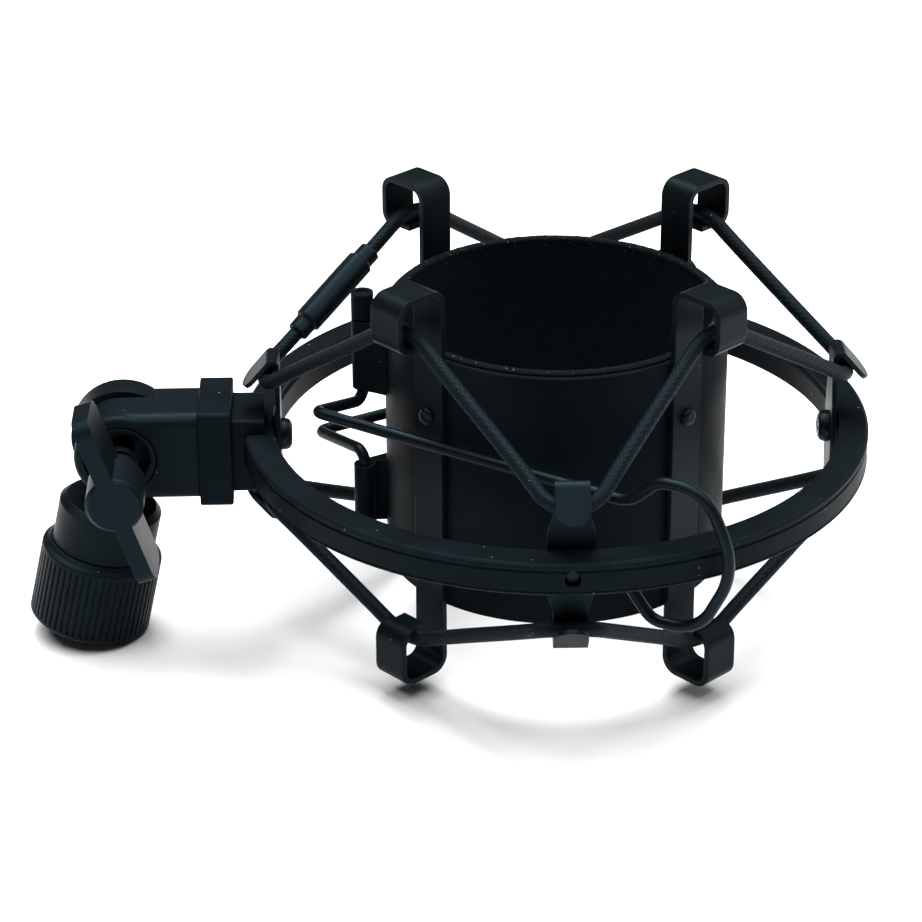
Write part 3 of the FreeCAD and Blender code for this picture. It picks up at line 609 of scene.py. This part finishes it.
def felt_half(felt, middle, low, rim, high, fuzz):
    """Half-round strip of felt with a thicker rolled edge above the shell's rim.

    A flat section is spun round the cradle's axis, then roughened.
    """
    start_clean()
    wall = felt.outside - felt.inside
    tall = rim - low
    bpy.ops.mesh.primitive_plane_add(size=1)
    piece = bpy.context.object
    bpy.ops.object.mode_set(mode="EDIT")
    bpy.ops.transform.resize(value=(wall, tall, 1))
    bpy.ops.transform.rotate(value=math.radians(-90), orient_axis="X",
                             center_override=(0, 0, 0))
    bpy.ops.transform.translate(value=(felt.inside + wall / 2, 0, (low + rim) / 2))
    pick("edges", lambda edge: all(piece.data.vertices[index].co.z > rim - 0.0005
                                   for index in edge.vertices))
    step = 0.00005
    bpy.ops.mesh.extrude_region_move(TRANSFORM_OT_translate={"value": (0.00018, 0, step)})
    bpy.ops.transform.resize(value=((wall + felt.overhang) / wall, 1, 1))
    bpy.ops.mesh.extrude_region_move(
        TRANSFORM_OT_translate={"value": (0, 0, high - rim - step)})
    bpy.ops.mesh.bevel(offset=0.00035, segments=3, affect="VERTICES")
    bpy.ops.mesh.select_all(action="SELECT")
    bpy.ops.mesh.spin(steps=90, dupli=False, angle=math.radians(176.6), center=(0, 0, 0),
                      axis=(0, 0, 1))
    bpy.ops.mesh.select_all(action="SELECT")
    bpy.ops.mesh.remove_doubles(threshold=0.00001)
    bpy.ops.mesh.normals_make_consistent(inside=False)
    bpy.ops.object.mode_set(mode="OBJECT")
    centre_arc(piece, middle)
    apply_modifier(piece, "REMESH", mode="VOXEL", voxel_size=0.00042)
    apply_modifier(piece, "DISPLACE", texture=fuzz, texture_coords="LOCAL",
                   strength=felt.fuzz, mid_level=0.5)
    start_clean()
    piece.select_set(True)
    bpy.context.view_layer.objects.active = piece
    bpy.ops.object.shade_smooth()
    return piece


def centre_arc(piece, middle):
    """Turn a spun arc so that its middle lies at an azimuth."""
    angles = [math.atan2(vertex.co.y, vertex.co.x) for vertex in piece.data.vertices]
    mean = math.atan2(sum(math.sin(angle) for angle in angles),
                      sum(math.cos(angle) for angle in angles))
    piece.data.transform(Matrix.Rotation(math.radians(middle) - mean, 4, "Z"))


def loose_fibres(felt, middle, top, seed):
    """Fine curled fibres standing out of the felt's top edge."""
    length = 0.0006
    chance = random.Random(seed)
    start_clean()
    bpy.ops.mesh.primitive_cone_add(vertices=3, radius1=0.000028, radius2=0.000012,
                                    depth=length, location=(0, 0, length / 2))
    first = bpy.context.object
    bpy.ops.object.mode_set(mode="EDIT")
    pick("edges", lambda edge: abs(first.data.vertices[edge.vertices[0]].co.z
                                   - first.data.vertices[edge.vertices[1]].co.z) > 0.0004)
    bpy.ops.mesh.subdivide(number_cuts=2)
    bpy.ops.object.mode_set(mode="OBJECT")
    first.data.transform(first.matrix_world)
    first.matrix_world = Matrix.Identity(4)
    shape = first.data
    copies = []
    for _ in range(felt.fibre_count):
        mesh = shape.copy()
        curl = chance.uniform(-0.0004, 0.0004)
        for vertex in mesh.vertices:
            rise = vertex.co.z / length
            vertex.co.x += curl * rise * rise
        azimuth = math.radians(middle + chance.uniform(-87, 87))
        radius = chance.uniform(felt.inside, felt.outside + 0.0004)
        tilt = Matrix.Rotation(chance.uniform(-1.25, 1.25), 4, "X")
        spin = Matrix.Rotation(chance.uniform(0, math.tau), 4, "Z")
        spot = Matrix.Translation((radius * math.cos(azimuth), radius * math.sin(azimuth),
                                   top - 0.00028))
        mesh.transform(spot @ spin @ tilt)
        fibre = bpy.data.objects.new("fibre", mesh)
        bpy.context.scene.collection.objects.link(fibre)
        copies.append(fibre)
    start_clean()
    for fibre in copies:
        fibre.select_set(True)
    bpy.context.view_layer.objects.active = copies[0]
    bpy.ops.object.join()
    bpy.data.objects.remove(first)
    return bpy.context.object


# Route of a quarter of each elastic loop, from one ring tab round a hook to the next tab:
# behind the tab, two points on the straight stretch, the hook's two edges, and back.
UPPER_QUARTER = (
    (0.0547, 0.0041, 0.0121), (0.0495, 0.0080, 0.0167), (0.0352, 0.0203, 0.0291),
    (0.0310, 0.0239, 0.0331), (0.0265, 0.0288, 0.0331), (0.0228, 0.0330, 0.0294),
    (0.0081, 0.0495, 0.0163), (0.0041, 0.0547, 0.0121))
LOWER_QUARTER = (
    (0.0547, 0.0041, -0.0122), (0.0495, 0.0080, -0.0158), (0.0352, 0.0203, -0.0258),
    (0.0310, 0.0239, -0.0290), (0.0265, 0.0288, -0.0290), (0.0228, 0.0330, -0.0260),
    (0.0081, 0.0495, -0.0156), (0.0041, 0.0547, -0.0122))
# Heights between which each loop passes from the ring's tabs to the cradle's hooks.
UPPER_TAB = (0, 0, 0.0125)
UPPER_HOOK = (0, 0, 0.0327)
LOWER_TAB = (0, 0, -0.0125)
LOWER_HOOK = (0, 0, -0.0286)
# Length of the upper loop that sets the braid's count, and strands round the cord.
BRAID_RUN = 0.355
BRAID_STRANDS = 8.0


class SHOCKMOUNT_OT_cords(Operator):
    """Model the two endless elastic cords"""
    bl_idname = "shock_mount.cords"
    bl_label = "Elastic Cords"

    def execute(self, context):
        cord = context.scene.shock_mount_cord
        sheath = woven_cord("black_braid", cord.colour, round(BRAID_RUN / cord.rib_pitch),
                            BRAID_STRANDS)
        for name, quarter, tab, hook in (
                ("elastic_top", UPPER_QUARTER, UPPER_TAB, UPPER_HOOK),
                ("elastic_bottom", LOWER_QUARTER, LOWER_TAB, LOWER_HOOK)):
            piece = endless_cord(quarter, cord.diameter / 2)
            settle(piece, name + "_cord", sheath)
            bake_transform(piece)
            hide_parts(name)
        return {"FINISHED"}


def endless_cord(quarter, radius):
    """Round cord along a closed smooth line through four turned quarters."""
    start_clean()
    bpy.ops.curve.primitive_nurbs_path_add()
    piece = bpy.context.object
    line = piece.data
    line.splines.clear()
    spline = line.splines.new("NURBS")
    spline.points.add(len(quarter) * 4 - 1)
    number = 0
    for turns in range(4):
        turn = Matrix.Rotation(math.radians(90 * turns), 4, "Z")
        for point in quarter:
            place = turn @ Vector(point)
            spline.points[number].co = (place.x, place.y, place.z, 1)
            number += 1
    spline.use_cyclic_u = True
    spline.order_u = 3
    line.dimensions = "3D"
    line.resolution_u = 12
    line.bevel_depth = radius
    line.bevel_resolution = 5
    bpy.ops.object.convert(target="MESH")
    piece = bpy.context.object
    bpy.ops.object.shade_smooth()
    return piece


class SHOCKMOUNT_OT_sleeve(Operator):
    """Model the six-sided sleeve that joins the upper cord's ends"""
    bl_idname = "shock_mount.sleeve"
    bl_label = "Cord Sleeve"

    def execute(self, context):
        colour = context.scene.shock_mount_paint.plastic_black
        plastic = moulded_plastic("sleeve_plastic", colour, 0.48, 0.14)
        start_clean()
        bpy.ops.mesh.primitive_cylinder_add(vertices=6, radius=0.0029, depth=0.0158,
                                            end_fill_type="NGON")
        piece = bpy.context.object
        bpy.ops.object.mode_set(mode="EDIT")
        pick("edges", lambda edge: abs(piece.data.vertices[edge.vertices[0]].co.z
                                       - piece.data.vertices[edge.vertices[1]].co.z) > 0.01)
        bpy.ops.mesh.bevel(offset=0.0008, segments=3, affect="EDGES")
        for end in (1, -1):
            pick("polygons", lambda face: face.normal.z * end > 0.9)
            bpy.ops.mesh.inset(thickness=0.00055)
            bpy.ops.transform.translate(value=(0, 0, end * 0.0004))
            bpy.ops.mesh.extrude_region_move(
                TRANSFORM_OT_translate={"value": (0, 0, end * 0.0026)})
            bpy.ops.mesh.inset(thickness=0.0003)
            bpy.ops.transform.translate(value=(0, 0, end * 0.0002))
            bpy.ops.mesh.inset(thickness=0.00025)
            bpy.ops.mesh.extrude_region_move(
                TRANSFORM_OT_translate={"value": (0, 0, -end * 0.0012)})
        bpy.ops.mesh.select_all(action="SELECT")
        bpy.ops.mesh.normals_make_consistent(inside=False)
        bpy.ops.object.mode_set(mode="OBJECT")
        apply_modifier(piece, "BEVEL", width=0.00018, segments=2, limit_method="ANGLE",
                       angle_limit=math.radians(40))
        apply_modifier(piece, "SUBSURF", levels=1, render_levels=1)
        bpy.ops.object.shade_smooth_by_angle(angle=math.radians(35))
        quarter = Matrix.Rotation(math.radians(90), 4, "Z")
        hook = quarter @ Vector(UPPER_QUARTER[5])
        tab = quarter @ Vector(UPPER_QUARTER[6])
        middle = hook.lerp(tab, 0.52)
        turn = Vector((0, 0, 1)).rotation_difference(tab - hook)
        piece.matrix_world = Matrix.Translation(middle) @ turn.to_matrix().to_4x4()
        settle(piece, "sleeve", plastic)
        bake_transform(piece)
        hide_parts("cord_sleeve")
        return {"FINISHED"}


class SHOCKMOUNT_OT_stage(Operator):
    """Floor, soft studio lamps and the camera"""
    bl_idname = "shock_mount.stage"
    bl_label = "Stage"

    def execute(self, context):
        stage = context.scene.shock_mount_stage
        context.scene.view_settings.view_transform = "Standard"
        floor_and_room(context, stage)
        overhead("lamp_top", 6.0, 72)
        softbox("lamp_back", (-0.10, 0.45, 1.05), 0.45, 9.0)
        softbox("lamp_right", (0.95, 0.30, 0.40), 0.6, 3.0)
        studio_camera(context, stage.lens)
        return {"FINISHED"}


def floor_and_room(context, stage):
    """Wide pale floor under the object, and a dim even room round it."""
    start_clean()
    bpy.ops.mesh.primitive_plane_add(size=8, location=(0, 0, CAD_BOX[0][2]))
    floor = bpy.context.object
    floor.name = "floor"
    material, tree, shader = new_material("pale_floor")
    mottle = rescale(tree, noise(tree, 3.0, 2.0, 0.5), 0.3, 0.7, 0.0, 1.0)
    light = paint(stage.floor)
    dark = paint([part * 0.985 for part in stage.floor])
    put(tree, shader.inputs["Base Color"], blend_colour(tree, mottle, light, dark))
    shader.inputs["Roughness"].default_value = 0.9
    shader.inputs["Specular IOR Level"].default_value = 0.1
    floor.data.materials.append(material)
    room = bpy.data.worlds.new("white_room")
    room.use_nodes = True
    background = room.node_tree.nodes["Background"]
    background.inputs["Color"].default_value = (1, 1, 1, 1)
    background.inputs["Strength"].default_value = stage.room_light
    context.scene.world = room


def overhead(name, strength, spread):
    """Even, very soft light from above that reaches the whole floor."""
    light = bpy.data.lights.new(name, "SUN")
    light.energy = strength
    light.angle = math.radians(spread)
    lamp = bpy.data.objects.new(name, light)
    bpy.context.scene.collection.objects.link(lamp)
    lamp.location = (0, 0, 1)


def softbox(name, place, width, power):
    """Square soft lamp that points at the middle of the object."""
    light = bpy.data.lights.new(name, "AREA")
    light.size = width
    light.energy = power
    lamp = bpy.data.objects.new(name, light)
    bpy.context.scene.collection.objects.link(lamp)
    lamp.location = place
    lamp.rotation_euler = (-Vector(place)).to_track_quat("-Z", "Y").to_euler()


def studio_camera(context, lens):
    """Camera a little above the ring, in front of the cradle's front half."""
    rise = math.radians(27.11)
    turn = Matrix.Rotation(math.radians(-1.53), 4, "Z")
    roll = Matrix.Rotation(math.radians(-0.19), 4, "Z")
    away = 0.6354
    left = 0.0179
    down = 0.00593
    place = Vector((0, -away * math.cos(rise), away * math.sin(rise)))
    place += Vector((-left, 0, 0)) - down * Vector((0, math.sin(rise), math.cos(rise)))
    camera_data = bpy.data.cameras.new("camera")
    camera_data.lens = lens
    camera_data.sensor_width = 36
    camera = bpy.data.objects.new("camera", camera_data)
    context.scene.collection.objects.link(camera)
    tilt = Matrix.Rotation(math.radians(90) - rise, 4, "X") @ roll
    camera.matrix_world = turn @ Matrix.Translation(place) @ tilt
    context.scene.camera = camera


# ------------------------------------------------------------------------ panel

class SHOCKMOUNT_PT_panel(Panel):
    """Sidebar panel that lists the pieces"""
    bl_label = "Shock Mount"
    bl_space_type = "VIEW_3D"
    bl_region_type = "UI"
    bl_category = "Shock Mount"

    def draw(self, context):
        layout = self.layout
        for settings in (context.scene.shock_mount_paint, context.scene.shock_mount_felt,
                         context.scene.shock_mount_cord, context.scene.shock_mount_stage):
            box = layout.box()
            for key in settings.bl_rna.properties.keys():
                if key not in ("rna_type", "name"):
                    box.prop(settings, key)
        for operator in OPERATORS:
            layout.operator(operator.bl_idname)


SETTINGS = (
    ("shock_mount_paint", PaintSettings),
    ("shock_mount_felt", FeltSettings),
    ("shock_mount_cord", CordSettings),
    ("shock_mount_stage", StageSettings),
)
OPERATORS = (
    SHOCKMOUNT_OT_ring, SHOCKMOUNT_OT_tabs, SHOCKMOUNT_OT_swivel, SHOCKMOUNT_OT_cradle,
    SHOCKMOUNT_OT_steel, SHOCKMOUNT_OT_knob, SHOCKMOUNT_OT_felt, SHOCKMOUNT_OT_cords,
    SHOCKMOUNT_OT_sleeve, SHOCKMOUNT_OT_stage,
)


def register():
    for name, settings in SETTINGS:
        bpy.utils.register_class(settings)
        setattr(bpy.types.Scene, name, PointerProperty(type=settings))
    for operator in OPERATORS:
        bpy.utils.register_class(operator)
    bpy.utils.register_class(SHOCKMOUNT_PT_panel)


def unregister():
    bpy.utils.unregister_class(SHOCKMOUNT_PT_panel)
    for operator in reversed(OPERATORS):
        bpy.utils.unregister_class(operator)
    for name, settings in reversed(SETTINGS):
        delattr(bpy.types.Scene, name)
        bpy.utils.unregister_class(settings)


def main():
    register()
    bpy.ops.shock_mount.ring()
    bpy.ops.shock_mount.tabs()
    bpy.ops.shock_mount.swivel()
    bpy.ops.shock_mount.cradle()
    bpy.ops.shock_mount.steel()
    bpy.ops.shock_mount.knob()
    bpy.ops.shock_mount.felt()
    bpy.ops.shock_mount.cords()
    bpy.ops.shock_mount.sleeve()
    bpy.ops.shock_mount.stage()


if __name__ == "__main__":
    main()
